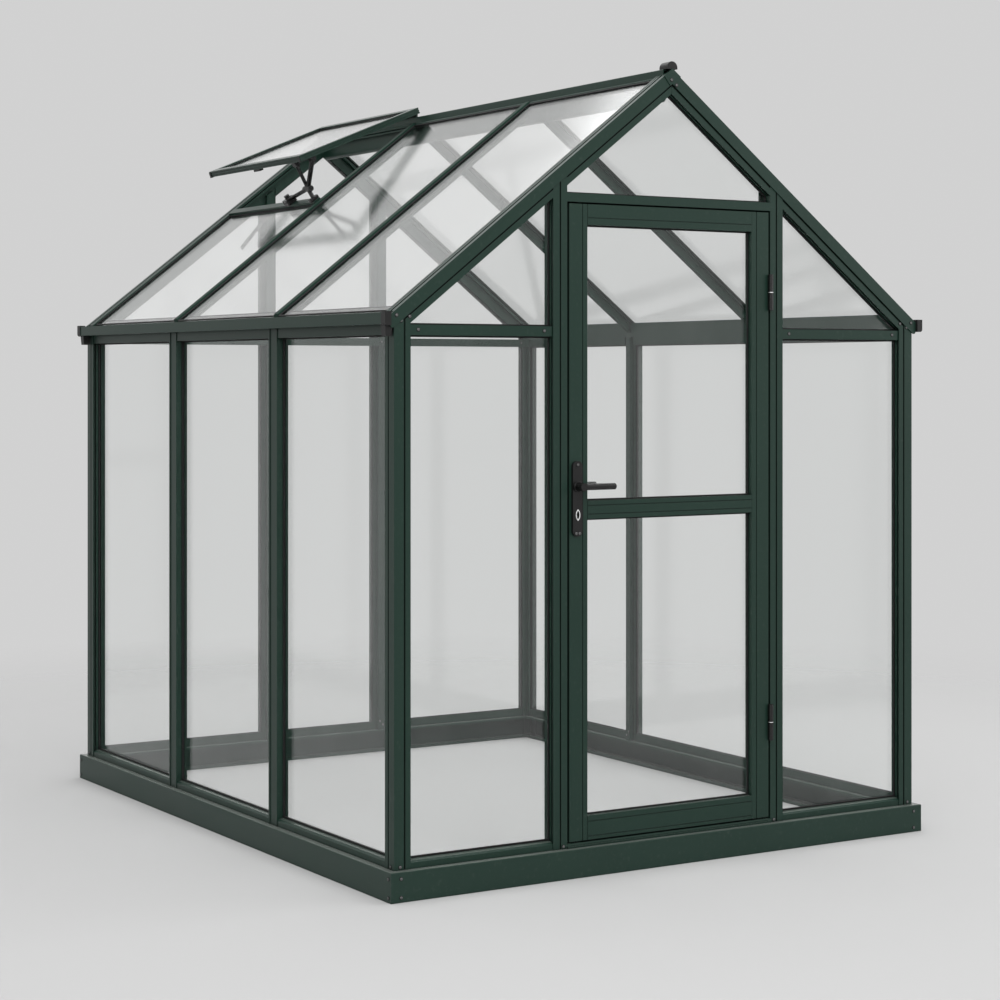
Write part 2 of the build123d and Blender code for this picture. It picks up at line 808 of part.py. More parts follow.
# Roof glass, three panes on each slope; the last one on the left stops at the vent sill
roof_pane_top = 22.5
roof_pane_foot = roof_glass_foot / math.cos(slope)
vent_pane_top = vent_sill_down + 6
roof_bays = (
    (-wall_y + rafter_lip - pane_step, -bay_line - 5),
    (-bay_line + 5, bay_line - 5),
    (bay_line + 5, wall_y - rafter_lip + pane_step),
)


def roof_pane(start, stop, top):
    """Pane on the left slope between two places along the building."""
    plane = Plane(origin=(0, stop, 0), x_dir=(1, 0, 0), z_dir=(0, -1, 0))
    outline = [
        on_roof(top, roof_glass_top),
        on_roof(roof_pane_foot, roof_glass_top),
        on_roof(roof_pane_foot, roof_glass_under),
        on_roof(top, roof_glass_under),
    ]
    return extrude(section(plane, outline), amount=stop - start)


with BuildPart() as glass_roof_right:
    for start, stop in roof_bays:
        roof_pane(start, stop, roof_pane_top)
    mirror(about=Plane.YZ, mode=Mode.REPLACE)
write(glass_roof_right, "glass_roof_right")

with BuildPart() as glass_roof_left:
    for (start, stop), top in zip(roof_bays, (roof_pane_top, roof_pane_top, vent_pane_top)):
        roof_pane(start, stop, top)
write(glass_roof_left, "glass_roof_left")

# Sill below the roof vent, between the roof bar and the rear rafter
vent_sill_half = 13.0
vent_sill_top = 4.0
vent_sill_under = 18.0
vent_sill_outline = [
    on_roof(vent_sill_down - vent_sill_half, -vent_sill_top),
    on_roof(vent_sill_down + vent_sill_half, -vent_sill_top),
    on_roof(vent_sill_down + vent_sill_half, roof_glass_top),
    on_roof(vent_sill_down + 5, roof_glass_top),
    on_roof(vent_sill_down + 5, roof_glass_under),
    on_roof(vent_sill_down + vent_sill_half, roof_glass_under),
    on_roof(vent_sill_down + vent_sill_half, vent_sill_under),
    on_roof(vent_sill_down - vent_sill_half, vent_sill_under),
]
with BuildPart() as vent_sill:
    end = Plane(origin=(0, wall_y - rafter_lip, 0), x_dir=(1, 0, 0), z_dir=(0, -1, 0))
    extrude(section(end, vent_sill_outline), amount=wall_y - rafter_lip - bay_line - 14)
write(vent_sill, "vent_sill")

# Roof vent, hinged at the ridge and held open
vent_middle = (vent_front + vent_rear) / 2
vent_width = vent_rear - vent_front
vent_plane = Plane(
    origin=(vent_hinge_x, vent_middle, vent_hinge_z),
    x_dir=(-math.cos(vent_open), 0, -math.sin(vent_open)),
    z_dir=(-math.sin(vent_open), 0, math.cos(vent_open)),
)
vent_slot = 8.0
vent_glass_low = 9.0
# Lines round the frame: height above its underside, distance from its edge, width and depth
vent_grooves = ((13.0, 0.0, 1.5, 2.0), (5.0, 0.0, 1.5, 2.0), (vent_depth - 1.5, 9.0, 2.0, 1.5))
from_hinge = (Align.MIN, Align.CENTER)
with BuildPart() as vent_frame:
    with BuildSketch(vent_plane):
        Rectangle(vent_length, vent_width, align=from_hinge)
        with Locations((vent_bar, 0)):
            Rectangle(
                vent_length - 2 * vent_bar, vent_width - 2 * vent_bar, align=from_hinge, mode=Mode.SUBTRACT
            )
    extrude(amount=vent_depth)
    with BuildSketch(vent_plane.offset(vent_glass_low)):
        with Locations((vent_bar - vent_slot, 0)):
            Rectangle(
                vent_length - 2 * (vent_bar - vent_slot),
                vent_width - 2 * (vent_bar - vent_slot),
                align=from_hinge,
            )
    extrude(amount=glass_thickness, mode=Mode.SUBTRACT)
    for height, inset, wide, deep in vent_grooves:
        with BuildSketch(vent_plane.offset(height)):
            with Locations((inset, 0)):
                Rectangle(vent_length - 2 * inset, vent_width - 2 * inset, align=from_hinge)
            with Locations((inset + wide, 0)):
                Rectangle(
                    vent_length - 2 * (inset + wide),
                    vent_width - 2 * (inset + wide),
                    align=from_hinge,
                    mode=Mode.SUBTRACT,
                )
        extrude(amount=deep, mode=Mode.SUBTRACT)
write(vent_frame, "vent_frame")

with BuildPart() as vent_glass:
    with BuildSketch(vent_plane.offset(vent_glass_low)):
        with Locations((vent_bar - vent_slot + 1, 0)):
            Rectangle(
                vent_length - 2 * (vent_bar - vent_slot + 1),
                vent_width - 2 * (vent_bar - vent_slot + 1),
                align=from_hinge,
            )
    extrude(amount=glass_thickness)
write(vent_glass, "vent_glass")

# Hinge strip on top of the ridge that carries the vent
strip_near = 8.0
strip_far = 15.0


def vent_under(x):
    """Height of the vent frame's underside at a distance from the ridge."""
    return vent_hinge_z - (x + vent_hinge_x) * math.tan(vent_open)


with BuildPart() as vent_hinge:
    end = Plane(origin=(0, vent_rear - 12, 0), x_dir=(1, 0, 0), z_dir=(0, -1, 0))
    strip_outline = [
        (-strip_near, ridge_height),
        (-strip_near, vent_under(strip_near)),
        (-strip_far, vent_under(strip_far)),
        (-strip_far, ridge_height),
    ]
    extrude(section(end, strip_outline), amount=vent_width - 24)
write(vent_hinge, "vent_hinge")

# Black corner keys at the lower corners of the vent and its catch
key_leg = 30.0
key_sheet = 2.0
key_fold = 12.0
catch_size = (14.0, 46.0, 9.0)
catch_middle = 690.0
with BuildPart() as vent_corners:
    key_y = vent_width / 2
    with BuildSketch(vent_plane.offset(-key_sheet)):
        for side in (-1, 1):
            with Locations((vent_length + key_sheet, side * (key_y + key_sheet))):
                Rectangle(key_leg, key_fold, align=(Align.MAX, Align.MAX if side > 0 else Align.MIN))
    extrude(amount=key_sheet)
    with BuildSketch(vent_plane.offset(-key_sheet)):
        with Locations((vent_length, 0)):
            for side in (-1, 1):
                with Locations((0, side * key_y)):
                    Rectangle(key_sheet, key_fold, align=(Align.MIN, Align.MAX if side > 0 else Align.MIN))
    extrude(amount=vent_depth - 2)
    with BuildSketch(vent_plane.offset(-catch_size[2])):
        with Locations((vent_length - vent_bar / 2, vent_middle - catch_middle)):
            Rectangle(catch_size[0], catch_size[1])
    extrude(amount=catch_size[2])
write(vent_corners, "vent_corners")

# Opener of the vent: two arms from the frame down to an elbow, from there a pair of links to a clamp
# on the sill and a leg to its foot, and a loose stay that hangs from a clip under the sill
elbow = Vector(-385, 424, 1992)
arm_heads = ((vent_length - vent_bar / 2, 408.0, 6.0), (vent_length - 48, vent_front + 12, 8.0))
clamp_y = 560.0
foot_y = 390.0
link_gap = 12.0
link_radius = 4.0
clamp_size = (38.0, 34.0, 20.0)
foot_size = (34.0, 20.0, 10.0)
joint_radius = 9.0
clip_y = 770.0
clip_size = (30.0, 24.0, 10.0)
stay_end = Vector(-418, 866, 1815)
stay_width = 16.0
stay_sheet = 3.0


def on_sill(y, rise):
    """Point above the top of the vent sill."""
    x, z = on_roof(vent_sill_down, -vent_sill_top - rise)
    return Vector(x, y, z)


def rod(start, end, radius):
    """Round rod between two points."""
    with BuildSketch(Plane(origin=start, z_dir=end - start)) as round_face:
        Circle(radius)
    return extrude(round_face.sketch, amount=(end - start).length)


def sill_block(y, size):
    """Block seated on the vent sill."""
    seat = on_sill(y, 0)
    with BuildSketch(Plane(origin=seat, x_dir=down_left, z_dir=-under_left)) as block_face:
        RectangleRounded(size[0], size[1], 4)
    return extrude(block_face.sketch, amount=size[2])


with BuildPart() as vent_opener:
    knuckle = Vector(0, 11, 0)
    for along, head_y, radius in arm_heads:
        head = vent_plane.from_local_coords(Vector(along, vent_middle - head_y, 0))
        joint = head - vent_plane.z_dir * joint_radius
        rod(joint, elbow, radius)
        rod(joint - knuckle, joint + knuckle, joint_radius)
        with BuildSketch(Plane(origin=head, x_dir=vent_plane.x_dir, z_dir=-vent_plane.z_dir)):
            RectangleRounded(22, 26, 4)
        extrude(amount=5)
    rod(elbow - knuckle * 2, elbow + knuckle * 2, 10)
    for shift in (-link_gap / 2, link_gap / 2):
        aside = Vector(shift, 0, 0)
        rod(elbow + aside, on_sill(clamp_y, clamp_size[2] - 6) + aside, link_radius)
    sill_block(clamp_y, clamp_size)
    knob = on_sill(clamp_y, clamp_size[2])
    rod(knob, knob - under_left * 12, 9)
    rod(elbow, on_sill(foot_y, 6), 7)
    sill_block(foot_y, foot_size)
    clip_x, clip_z = on_roof(vent_sill_down, vent_sill_under)
    clip = Vector(clip_x, clip_y, clip_z)
    with BuildSketch(Plane(origin=clip, x_dir=down_left, z_dir=under_left)):
        RectangleRounded(clip_size[0], clip_size[1], 4)
    extrude(amount=clip_size[2])
    stay_start = clip + under_left * (clip_size[2] - 2)
    with BuildSketch(Plane(origin=stay_start, x_dir=(1, 0, 0), z_dir=stay_end - stay_start)):
        Rectangle(stay_sheet, stay_width)
    extrude(amount=(stay_end - stay_start).length)
write(vent_opener, "vent_opener")

# Door leaf: two stiles and three rails round the glass, each with lines beside its beads
stile_line = 44.0
stile_outline = [
    (0, 0),
    (stile_line - bead_half, 0),
    (stile_line - bead_half, bead_depth),
    (stile_line + bead_half, bead_depth),
    (stile_line + bead_half, 0),
    (stile_width - 1.5, 0),
    (stile_width, 1.5),
    (stile_width, door_glass_in),
    (stile_width - tuck, door_glass_in),
    (stile_width - tuck, door_glass_out),
    (stile_width, door_glass_out),
    (stile_width, door_depth - 6),
    (stile_width - 6, door_depth),
    (0, door_depth),
]
stile_chamber = (3, 4.5, 41, 33)
spindle_y = -wall_y + door_depth / 2
with BuildPart() as door_stiles:
    foot = Plane(origin=(-door_half, -wall_y, door_bottom))
    extrude(section(foot, stile_outline, stile_chamber), amount=door_top - door_bottom)
    mirror(about=Plane.YZ)
    with Locations(Location((handle_x, spindle_y, handle_z), (90, 0, 0))):
        Hole(spindle_bore, depth=door_depth)
write(door_stiles, "door_stiles")


def door_rail(low, high, slots, lines):
    """Rail between the stiles, with lines on its face and a glass slot in its lower or upper edge or both."""
    half = door_half - stile_width
    end = Plane(origin=(-half, -wall_y, 0), x_dir=(0, 1, 0), z_dir=(1, 0, 0))
    outline = [(0, low)]
    if "low" in slots:
        outline += [
            (door_glass_in, low),
            (door_glass_in, low + tuck),
            (door_glass_out, low + tuck),
            (door_glass_out, low),
        ]
    outline += [(door_depth, low), (door_depth, high)]
    if "high" in slots:
        outline += [
            (door_glass_out, high),
            (door_glass_out, high - tuck),
            (door_glass_in, high - tuck),
            (door_glass_in, high),
        ]
    outline += [(0, high)]
    for line in lines:
        outline += [
            (0, line + bead_half),
            (bead_depth, line + bead_half),
            (bead_depth, line - bead_half),
            (0, line - bead_half),
        ]
    return extrude(section(end, outline), amount=2 * half)


with BuildPart() as door_bottom_rail:
    rail_top = door_bottom + bottom_rail_height
    door_rail(door_bottom, rail_top, ("high",), (rail_top - 16, door_bottom + 10))
write(door_bottom_rail, "door_bottom_rail")

with BuildPart() as door_middle_rail:
    middle_lines = (middle_rail_top - 13, middle_rail_bottom + 13)
    door_rail(middle_rail_bottom, middle_rail_top, ("low", "high"), middle_lines)
write(door_middle_rail, "door_middle_rail")

with BuildPart() as door_top_rail:
    rail_foot = door_top - top_rail_height
    door_rail(rail_foot, door_top, ("low",), (rail_foot + 19.5,))
write(door_top_rail, "door_top_rail")

door_pane_half = door_half - stile_width + pane_step
with BuildPart() as door_glass:
    for low, high in (
        (door_bottom + bottom_rail_height, middle_rail_bottom),
        (middle_rail_top, door_top - top_rail_height),
    ):
        with Locations((0, -wall_y + door_glass_in, low - pane_step)):
            Box(
                2 * door_pane_half,
                glass_thickness,
                high - low + 2 * pane_step,
                align=(Align.CENTER, Align.MIN, Align.MIN),
            )
write(door_glass, "door_glass")

# Hinges: a pin and lower knuckle on the post, an upper knuckle on the door
knuckle_gap = 2.0
leaf_depth = 34.0
half_knuckle = hinge_length / 2
with BuildPart() as frame_hinges:
    for height in hinge_heights:
        with Locations((hinge_x, hinge_y, height - half_knuckle)):
            Cylinder(knuckle_radius, half_knuckle - knuckle_gap / 2, align=(Align.CENTER, Align.CENTER, Align.MIN))
            Cylinder(pin_radius, hinge_length - 10, align=(Align.CENTER, Align.CENTER, Align.MIN))
        with Locations((doorway_half, hinge_y, height - half_knuckle)):
            Box(hinge_leaf, leaf_depth, half_knuckle - knuckle_gap / 2, align=(Align.MAX, Align.MIN, Align.MIN))
write(frame_hinges, "frame_hinges")

with BuildPart() as door_hinges:
    for height in hinge_heights:
        with Locations((hinge_x, hinge_y, height + knuckle_gap / 2)):
            Cylinder(knuckle_radius, half_knuckle - knuckle_gap / 2, align=(Align.CENTER, Align.CENTER, Align.MIN))
        with Locations((door_half, hinge_y, height + knuckle_gap / 2)):
            Box(hinge_leaf, leaf_depth, half_knuckle - knuckle_gap / 2, align=(Align.MIN, Align.MIN, Align.MIN))
        with Locations((hinge_x, hinge_y, height + knuckle_gap / 2)):
            Cylinder(
                pin_bore,
                half_knuckle - 8,
                align=(Align.CENTER, Align.CENTER, Align.MIN),
                mode=Mode.SUBTRACT,
            )
write(door_hinges, "door_hinges")

# Handle plates on both faces of the stile
outer_face = Plane(origin=(handle_x, -wall_y, plate_middle), x_dir=(1, 0, 0), z_dir=(0, -1, 0))
inner_face = Plane(origin=(handle_x, -wall_y + door_depth, plate_middle), x_dir=(-1, 0, 0), z_dir=(0, 1, 0))
keyhole_drop = plate_middle - keyhole_z
with BuildPart() as handle_plates:
    for side in (outer_face, inner_face):
        with BuildSketch(side):
            RectangleRounded(plate_width, plate_height, 14)
            with Locations((0, handle_z - plate_middle)):
                Circle(neck_bore, mode=Mode.SUBTRACT)
            with Locations((0, -keyhole_drop)):
                SlotOverall(22, 9, rotation=90, mode=Mode.SUBTRACT)
        extrude(amount=plate_depth)
write(handle_plates, "handle_plates")

# Lever handle: spindle through the stile, and on each side a neck that carries a round lever
neck_length = plate_depth + lever_reach + lever_radius + 1.5
tip_chamfer = 3.0
with BuildPart() as door_lever:
    with Locations((handle_x, spindle_y, handle_z)):
        Box(spindle, door_depth, spindle)
    for side in (outer_face, inner_face):
        neck = Plane(origin=(handle_x, side.origin.Y, handle_z), x_dir=side.x_dir, z_dir=side.z_dir)
        with BuildSketch(neck):
            Circle(neck_radius)
        extrude(amount=neck_length)
        lever_y = side.origin.Y + side.z_dir.Y * (plate_depth + lever_reach)
        with BuildSketch(Plane(origin=(handle_x, lever_y, handle_z), z_dir=(1, 0, 0))):
            Circle(lever_radius)
        extrude(amount=lever_length)
    tips = door_lever.edges().filter_by(GeomType.CIRCLE).group_by(Axis.X)[-1]
    chamfer(tips, tip_chamfer)
write(door_lever, "door_lever")
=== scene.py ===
import math

import bpy
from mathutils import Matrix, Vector


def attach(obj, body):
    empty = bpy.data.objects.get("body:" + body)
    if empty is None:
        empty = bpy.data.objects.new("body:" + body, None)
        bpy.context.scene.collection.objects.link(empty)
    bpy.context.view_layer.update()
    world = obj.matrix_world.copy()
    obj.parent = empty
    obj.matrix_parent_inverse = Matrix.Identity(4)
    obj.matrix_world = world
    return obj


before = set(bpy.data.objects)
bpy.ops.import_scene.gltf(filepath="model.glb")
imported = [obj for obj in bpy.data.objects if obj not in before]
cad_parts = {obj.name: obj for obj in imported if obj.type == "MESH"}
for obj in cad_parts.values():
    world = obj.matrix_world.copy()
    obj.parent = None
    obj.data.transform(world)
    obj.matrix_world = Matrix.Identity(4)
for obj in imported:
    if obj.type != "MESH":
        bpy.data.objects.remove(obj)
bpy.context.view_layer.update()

mm = 0.001

# The studio: a pale floor that fades into an even pale surround, and soft lamps.
# The surround is what the camera, the gloss and the glass see; the coats get a plain even light.


class Value:
    """One output of a material's node. Sums with it add Math nodes."""

    def __init__(self, mix, socket):
        self.mix = mix
        self.socket = socket

    def maths(self, operation, *terms):
        return self.mix.add("ShaderNodeMath", {"operation": operation}, dict(enumerate(terms)))

    def __add__(self, other):
        return self.maths("ADD", self, other)

    def __sub__(self, other):
        return self.maths("SUBTRACT", self, other)

    def __rsub__(self, other):
        return self.maths("SUBTRACT", other, self)

    def __mul__(self, other):
        return self.maths("MULTIPLY", self, other)

    def __pow__(self, other):
        return self.maths("POWER", self, other)

    __radd__ = __add__
    __rmul__ = __mul__

    def at_least(self, other):
        return self.maths("MAXIMUM", self, other)

    def step(self, low, high):
        """0 below low, 1 above high, and a soft rise between them."""
        return self.mix.add(
            "ShaderNodeMapRange",
            {"interpolation_type": "SMOOTHSTEP"},
            {"Value": self, "From Min": low, "From Max": high},
        )


class Mix:
    """A node tree of a material or of the world."""

    def __init__(self, owner):
        owner.use_nodes = True
        self.tree = owner.node_tree
        self.tree.nodes.clear()

    def add(self, kind, settings, inputs, output=0):
        """Adds a node, with its settings first and then the values or links of its inputs."""
        node = self.tree.nodes.new(kind)
        for name, setting in settings.items():
            setattr(node, name, setting)
        for name, value in inputs.items():
            if isinstance(value, Value):
                self.tree.links.new(value.socket, node.inputs[name])
            else:
                node.inputs[name].default_value = value
        return Value(self, node.outputs[output]) if node.outputs else node

    def blend(self, share, first, second):
        """A colour between two others."""
        return self.add("ShaderNodeMix", {"data_type": "RGBA"}, {0: share, 6: first, 7: second}, 2)

    def place(self):
        """Where a point is on the object, in metres."""
        return self.add("ShaderNodeTexCoord", {}, {}, "Object")

    def grain(self, size, detail):
        """Soft random spots about as large as size, from 0 to 1."""
        place = self.place()
        return self.add("ShaderNodeTexNoise", {}, {"Vector": place, "Scale": 1 / size, "Detail": detail})


def grey(level):
    return (level, level, level, 1.0)


surround = 0.64
even_light = 0.50
overhead = 0.22
overhead_from = 0.12
overhead_full = 0.30
world = bpy.data.worlds.new("studio")
bpy.context.scene.world = world
sky = Mix(world)
seen = sky.add("ShaderNodeLightPath", {}, {}, "Is Camera Ray")
glossy = sky.add("ShaderNodeLightPath", {}, {}, "Is Glossy Ray")
through = sky.add("ShaderNodeLightPath", {}, {}, "Is Transmission Ray")
shown = seen.at_least(glossy).at_least(through)
way = sky.add("ShaderNodeTexCoord", {}, {}, "Generated")
height = sky.add("ShaderNodeSeparateXYZ", {}, {"Vector": way}, "Z")
panels = height.step(overhead_from, overhead_full) * glossy
strength = even_light + shown * (surround - even_light) + overhead * panels
emit = sky.add("ShaderNodeBackground", {}, {"Color": grey(1.0), "Strength": strength})
sky.add("ShaderNodeOutputWorld", {}, {"Surface": emit})

floor_half = 40.0
below_base = 0.0005
floor_pale = 0.57
fades_from = 1.8
fades_at = 5.0
bpy.ops.object.select_all(action="DESELECT")
bpy.ops.mesh.primitive_plane_add(size=2 * floor_half, location=(0, 0, -below_base))
floor = bpy.context.object
floor.name = "floor"
floor_paint = bpy.data.materials.new("floor")
paint = Mix(floor_paint)
spot = paint.place()
away = paint.add("ShaderNodeVectorMath", {"operation": "LENGTH"}, {0: spot}, "Value")
pale = paint.add("ShaderNodeBsdfDiffuse", {}, {"Color": grey(floor_pale)})
clear = paint.add("ShaderNodeBsdfTransparent", {}, {"Color": grey(1.0)})
layer = paint.add("ShaderNodeMixShader", {}, {0: away.step(fades_from, fades_at), 1: pale, 2: clear})
paint.add("ShaderNodeOutputMaterial", {}, {"Surface": layer})
floor.data.materials.append(floor_paint)


def softbox(name, place, aim, size, power):
    """A square lamp at a place, facing another."""
    lamp = bpy.data.lights.new(name, "AREA")
    lamp.size = size
    lamp.energy = power
    holder = bpy.data.objects.new(name, lamp)
    bpy.context.scene.collection.objects.link(holder)
    holder.location = place
    way = [b - a for a, b in zip(place, aim)]
    flat = math.hypot(way[0], way[1])
    holder.rotation_euler = (math.atan2(flat, -way[2]), 0, math.atan2(-way[0], way[1]))
    return holder


softbox("key", (-3.0, -7.0, 5.5), (0, 0, 1.2), 7.0, 420)
softbox("fill", (7.0, -4.0, 4.0), (0, 0, 1.2), 6.0, 160)
softbox("top", (0.5, 1.0, 6.5), (0, 0, 1.0), 8.0, 270)

# The camera, where the photographer stood: level, with the view shifted down to the building.
eye = (-3.8014, -6.3223, 1.3818)
turn = 0.5525
lens = 82.354
horizon_row = 373.93
picture = 1000.0
camera = bpy.data.cameras.new("camera")
camera.lens = lens
camera.sensor_width = 36.0
camera.shift_y = (horizon_row - picture / 2) / picture
camera.clip_end = 200.0
stand = bpy.data.objects.new("camera", camera)
bpy.context.scene.collection.objects.link(stand)
stand.location = eye
stand.rotation_euler = (math.pi / 2, 0, -turn)
bpy.context.scene.camera = stand
bpy.context.scene.view_settings.view_transform = "Standard"
bpy.context.scene.cycles.transparent_max_bounces = 32


# Base: a low folded steel frame of four mitred channels with angle brackets in the corners.
# Dark green powder coat, satin, with a very fine orange peel, painted shade in its crevices and a
# little dust, most of it on the faces that look up, where the lighter colour is also a painted highlight.
def powder_coat(name, dark, light, gloss, shine, top_dust_and_highlight=0.40):
    material = bpy.data.materials.new(name)
    paint = Mix(material)
    cloud = paint.grain(0.35, 3.0)
    peel = paint.grain(0.0016, 1.0)
    dust = paint.grain(0.012, 4.0).step(0.55, 0.85)
    facing = paint.add("ShaderNodeNewGeometry", {}, {}, "Normal")
    # Faces that look up are painted lighter: partly settled dust, partly a painted highlight along the top
    # faces.
    ledge = paint.add("ShaderNodeSeparateXYZ", {}, {"Vector": facing}, "Z").step(0.85, 0.97)
    shade = paint.blend(cloud, dark, light)
    dust_and_top_highlight = paint.blend(0.10 * dust + top_dust_and_highlight * ledge, shade, (0.15, 0.17, 0.155, 1))
    # Painted shade: an ambient occlusion mask darkens the coat to near black in crevices and grooves.
    open_air = paint.add("ShaderNodeAmbientOcclusion", {"samples": 6}, {"Distance": 0.014}, "AO")
    crevice_shade_mask = (1 - open_air).step(0.36, 0.75)
    coat_with_painted_shade = paint.blend(crevice_shade_mask, dust_and_top_highlight, (0.0010, 0.0030, 0.0020, 1))
    rough = gloss + 0.07 * (cloud - 0.5) + 0.06 * dust + 0.35 * crevice_shade_mask - 0.20 * ledge
    bump = paint.add("ShaderNodeBump", {}, {"Strength": 0.10, "Distance": 0.0002, "Height": peel})
    coat = paint.add(
        "ShaderNodeBsdfPrincipled",
        {},
        {"Base Color": coat_with_painted_shade, "Roughness": rough, "Normal": bump, "Specular IOR Level": shine},
    )
    paint.add("ShaderNodeOutputMaterial", {}, {"Surface": coat})
    return material


def dress(material, *names):
    """Gives CAD nodes their finish."""
    for name in names:
        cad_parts[name].material_slots[0].material = material


green_dark = (0.0060, 0.0235, 0.0155, 1)
green_light = (0.0085, 0.0300, 0.0205, 1)
# The base's top faces are painted lightest, partly as dust and partly as a painted highlight along its top
# ledge.
base_coat = powder_coat("base_coat", green_dark, green_light, 0.42, 0.34, top_dust_and_highlight=0.90)
dress(base_coat, "base_ends", "base_sides", "base_brackets")


def only(piece):
    """Selects one piece and makes it the active one."""
    bpy.ops.object.select_all(action="DESELECT")
    piece.select_set(True)
    bpy.context.view_layer.objects.active = piece


def pick(piece, kind, wanted):
    """In edit mode, selects the faces or the points that pass a test, and nothing else."""
    bpy.ops.object.mode_set(mode="EDIT")
    bpy.ops.mesh.select_mode(type=kind)
    bpy.ops.mesh.select_all(action="DESELECT")
    bpy.ops.object.mode_set(mode="OBJECT")
    for part in piece.data.polygons if kind == "FACE" else piece.data.vertices:
        part.select = wanted(part)
    bpy.ops.object.mode_set(mode="EDIT")


def fit(piece, name, body, finish):
    """Names a finished piece, gives it its finish and makes it ride on a body."""
    piece.name = name
    piece.data.name = name
    piece.data.materials.clear()
    piece.data.materials.append(finish)
    only(piece)
    bpy.ops.object.shade_smooth_by_angle(angle=math.radians(32))
    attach(piece, body)


def joined(pieces):
    """Makes one piece of several, with their places in its mesh."""
    bpy.ops.object.select_all(action="DESELECT")
    for piece in pieces:
        piece.select_set(True)
    bpy.context.view_layer.objects.active = pieces[0]
    if len(pieces) > 1:
        bpy.ops.object.join()
    bpy.ops.object.transform_apply(location=True, rotation=True, scale=True)
    return pieces[0]


def black_part(name, shade, gloss, metal=0.0, shine=0.3):
    """A black moulding or coated metal, with a fine grain."""
    material = bpy.data.materials.new(name)
    paint = Mix(material)
    cloud = paint.grain(0.03, 3.0)
    peel = paint.grain(0.0008, 1.0)
    tone = paint.blend(cloud, grey(0.75 * shade), grey(1.25 * shade))
    bump = paint.add("ShaderNodeBump", {}, {"Strength": 0.15, "Distance": 0.0002, "Height": peel})
    coat = paint.add(
        "ShaderNodeBsdfPrincipled",
        {},
        {
            "Base Color": tone, "Roughness": gloss + 0.1 * (cloud - 0.5), "Normal": bump,
            "Metallic": metal, "Specular IOR Level": shine,
        },
    )
    paint.add("ShaderNodeOutputMaterial", {}, {"Surface": coat})
    return material


# The screw that holds the whole frame together: a zinc pan head with a six-lobed recess, on a
# black sealing washer.
screw_radius = 3.6
head_height = 2.4
shoulder = 0.8
recess_radius = 2.0
recess_depth = 1.0
bpy.ops.object.select_all(action="DESELECT")
bpy.ops.mesh.primitive_cylinder_add(
    vertices=24, radius=screw_radius * mm, depth=head_height * mm, location=(0, 0, 0.4 * head_height * mm)
)
screw = bpy.context.object
bpy.ops.object.transform_apply(location=True, rotation=True, scale=True)
pick(screw, "FACE", lambda face: face.normal.z > 0.9)
bpy.ops.mesh.inset(thickness=shoulder * mm)
bpy.ops.transform.translate(value=(0, 0, 0.5 * mm))
bpy.ops.mesh.inset(thickness=(screw_radius - shoulder - recess_radius) * mm)
bpy.ops.object.mode_set(mode="OBJECT")
rim = (recess_radius + 0.2) * mm


def is_notch(point):
    """True at every fourth point of the recess's edge, where the lobes meet."""
    if point.co.z < 0.5 * head_height * mm or math.hypot(point.co.x, point.co.y) > rim:
        return False
    return round(math.degrees(math.atan2(point.co.y, point.co.x)) / 15) % 4 == 0


pick(screw, "VERT", is_notch)
bpy.ops.transform.resize(value=(0.72, 0.72, 1))
pick(screw, "FACE", lambda face: face.normal.z > 0.9 and math.hypot(face.center.x, face.center.y) < 0.2 * mm)
bpy.ops.mesh.extrude_region_move(TRANSFORM_OT_translate={"value": (0, 0, -recess_depth * mm)})
bpy.ops.object.mode_set(mode="OBJECT")
bpy.ops.object.select_all(action="DESELECT")
washer_radius = 5.4
washer_height = 1.0
bpy.ops.mesh.primitive_cylinder_add(
    vertices=24, radius=washer_radius * mm, depth=washer_height * mm,
    location=(0, 0, 0.2 * washer_height * mm),
)
washer = bpy.context.object
bpy.ops.object.transform_apply(location=True, rotation=True, scale=True)
pick(washer, "FACE", lambda face: face.normal.z > 0.9)
bpy.ops.mesh.inset(thickness=0.7 * mm)
bpy.ops.transform.translate(value=(0, 0, 0.3 * mm))
bpy.ops.object.mode_set(mode="OBJECT")
zinc = black_part("screw_zinc", 0.16, 0.30, 0.8)
rubber = black_part("seal_rubber", 0.006, 0.6)


def set_screws(name, body, places):
    """Two pieces, the screws and the washers of a group: copies, each turned to face outwards."""
    for model, word, slot, finish in (
        (screw, "screws", "black_metal", zinc), (washer, "washers", "black_plastic", rubber)
    ):
        copies = []
        for place, facing in places:
            only(model)
            bpy.ops.object.duplicate()
            copy = bpy.context.object
            copy.location = [value * mm for value in place]
            copy.rotation_euler = Vector(facing).to_track_quat("Z", "Y").to_euler()
            copies.append(copy)
        fit(joined(copies), name + "_" + word, body, finish)


corners = [(side, gable) for side in (-1, 1) for gable in (-1, 1)]
base_x = 915.0
base_y = 1100.0
from_side_end = 14.0
from_front_end = 30.0
base_screw_heights = (62.0, 13.0)
base_screws = []
for side, gable in corners:
    for height in base_screw_heights:
        base_screws.append(((side * base_x, gable * (base_y - from_side_end), height), (side, 0, 0)))
        if gable < 0:
            base_screws.append(((side * (base_x - from_front_end), -base_y, height), (0, -1, 0)))
set_screws("base", "root", base_screws)

